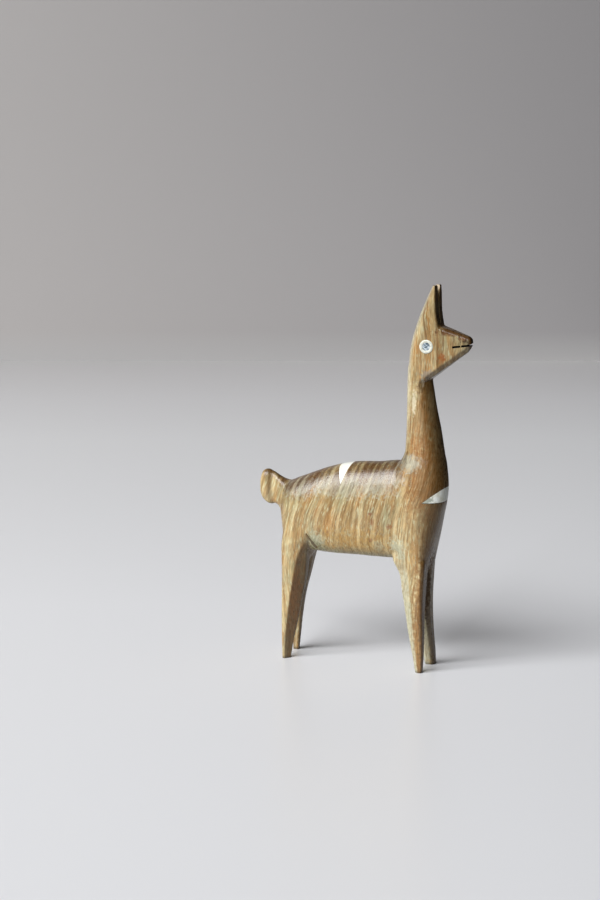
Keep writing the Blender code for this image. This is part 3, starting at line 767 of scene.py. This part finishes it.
# THE EYES
# Each eye is a slice of thin tubular bone pressed into the cheek, greyer than the wedges because it is cut
# across. Its hollow is filled with a hard grey paste, sanded level with it and full of dark clots.
rim, hole, lip = eye_width / 2, 1.4, 0.12
proud, level_at = -0.06, 0.05
ring_bone, tree, surface, mm = finish_of("bone_cut_across_polished", Roughness=0.34, IOR=1.54)
greys = [(0.35, "#b9b9a9"), (0.5, "#c8c9bc"), (0.65, "#d6d8cf")]
clouds = add(tree, "TexNoise", {"Vector": mm, "Scale": 1.2, "Detail": 3.0})
drive("Base Color", add(tree, "ValToRGB", {0: clouds}, stops=greys))
paste, tree, surface, mm = finish_of("grey_paste_polished", Roughness=0.22)
slates = [(0.36, "#3a4854"), (0.5, "#84939c"), (0.62, "#c3ccd0")]
clots = add(tree, "TexNoise", {"Vector": mm, "Scale": 1.5, "Detail": 2.0})
drive("Base Color", add(tree, "ValToRGB", {0: clots}, stops=slates))

# Each profile: radii, and depths below the cheek. The ring's edges are rounded, and the paste lies a hair
# lower.
ring_profile = [(hole, eye_depth), (hole, level_at), (hole + lip, proud)]
ring_profile += [(rim - lip, proud), (rim, level_at), (rim, eye_depth)]
paste_profile = [(hole, eye_depth - 0.2), (hole, 0.02), (hole * 0.8, 0.0), (hole * 0.4, 0.02), (0.02, 0.03)]
for side, label in ((-1, "right"), (1, "left")):
    ring_shape = [eye_circle(radius, depth, side) for radius, depth in ring_profile]
    paste_shape = [eye_circle(radius, depth, side) for radius, depth in paste_profile]
    ring = skin(f"eye_ring_of_bone_{label}", ring_shape, closed=True)
    pupil = skin(f"eye_paste_{label}", paste_shape)
    ring.data.materials.append(ring_bone)
    pupil.data.materials.append(paste)
    for piece, node, slot in ((ring, "eye_ring_", "bone"), (pupil, "eye_pupil_", "grey_filler")):
        faired(piece, 50)
        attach(piece, "root")
        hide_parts(node + label)

# THE TABLE AND THE WALL
# A smooth off-white table top that shines a little stands against a plain grey wall, about a metre behind the
# carving. Their right edge lies just outside the picture, so little light comes back from that side. Sizes
# are in metres here.
wall_y, left_x, front_y, wall_top = 0.94, -1.0, -0.6, 0.9
right_x, widening = 0.115, 0.1412
lacquer, tree, surface, mm = finish_of("table_top_lacquered_and_wall_painted", Roughness=0.34)
place = add(tree, "SeparateXYZ", {0: add(tree, "TexCoord").outputs["Object"]})
# The table is painted darker towards the wall and lighter to the right, and the wall darker to the right and
# lighter towards its foot: painted light and shade for the falloff of the window's light across the room.
off_whites = [(0.05, "#d4d5d8"), (0.30, "#e0e1e4"), (0.64, "#dddee0")]
off_whites += [(0.78, "#d4d4d6"), (0.91, "#c6c5c6"), (0.954, "#c0bfbf")]
away = amount((place.outputs["Y"], -0.3, 1.0))
table_tone = add(tree, "ValToRGB", {0: away}, stops=off_whites)
table_tone = toned(table_tone, (place.outputs["X"], -0.3, 0.15, 1.0, 1.11))
wall_tone = stained(linear("#979493"), "#8a8889", (place.outputs["X"], -0.26, 0.24))
wall_tone = toned(wall_tone, (place.outputs["Z"], 0.0, 0.28, 1.25, 1.07))
wall_tone = stained(wall_tone, "#a9a8a8", (place.outputs["Z"], 0.024, 0.0))
on_wall = amount((place.outputs["Z"], 0.0, 0.0001))
pale = add(tree, "Mix", {"Factor": on_wall, "A": table_tone, "B": wall_tone}, data_type="RGBA")
tree.links.new(pale.outputs["Result"], surface.inputs["Base Color"])
edges = [(front_y, 0.0), (wall_y, 0.0), (wall_y, wall_top)]
corners = [(x, y, z) for y, z in edges for x in (left_x, right_x + widening * max(0.0, y))]
backdrop = bpy.data.meshes.new("table_and_wall")
backdrop.from_pydata(corners, [], [(2 * k, 2 * k + 1, 2 * k + 3, 2 * k + 2) for k in range(2)])
backdrop.materials.append(lacquer)
table = bpy.data.objects.new("table_and_wall", backdrop)
table.rotation_euler = (0, 0, view_turn)
scene.collection.objects.link(table)

# THE DAYLIGHT
# One wide window behind the camera's left shoulder lights the scene, from nearly three metres away. The room
# gives back very little.
target = Vector((0.0, 0.0, 0.06))
window_from = Vector((-0.30, -0.75, 0.59)).normalized()
window_away = 2.8
window = bpy.data.lights.new("window", "AREA")
window.shape = "RECTANGLE"
window.size, window.size_y = 2.7, 1.45
window.energy = 146.0
window_light = bpy.data.objects.new("window", window)
window_light.location = target + window_from * window_away
window_light.rotation_euler = (-window_from).to_track_quat("-Z", "Y").to_euler()
scene.collection.objects.link(window_light)
world = bpy.data.worlds.new("room")
world.use_nodes = True
air = world.node_tree.nodes["Background"]
air.inputs["Color"].default_value = linear("#8e939b")
air.inputs["Strength"].default_value = 0.05
scene.world = world
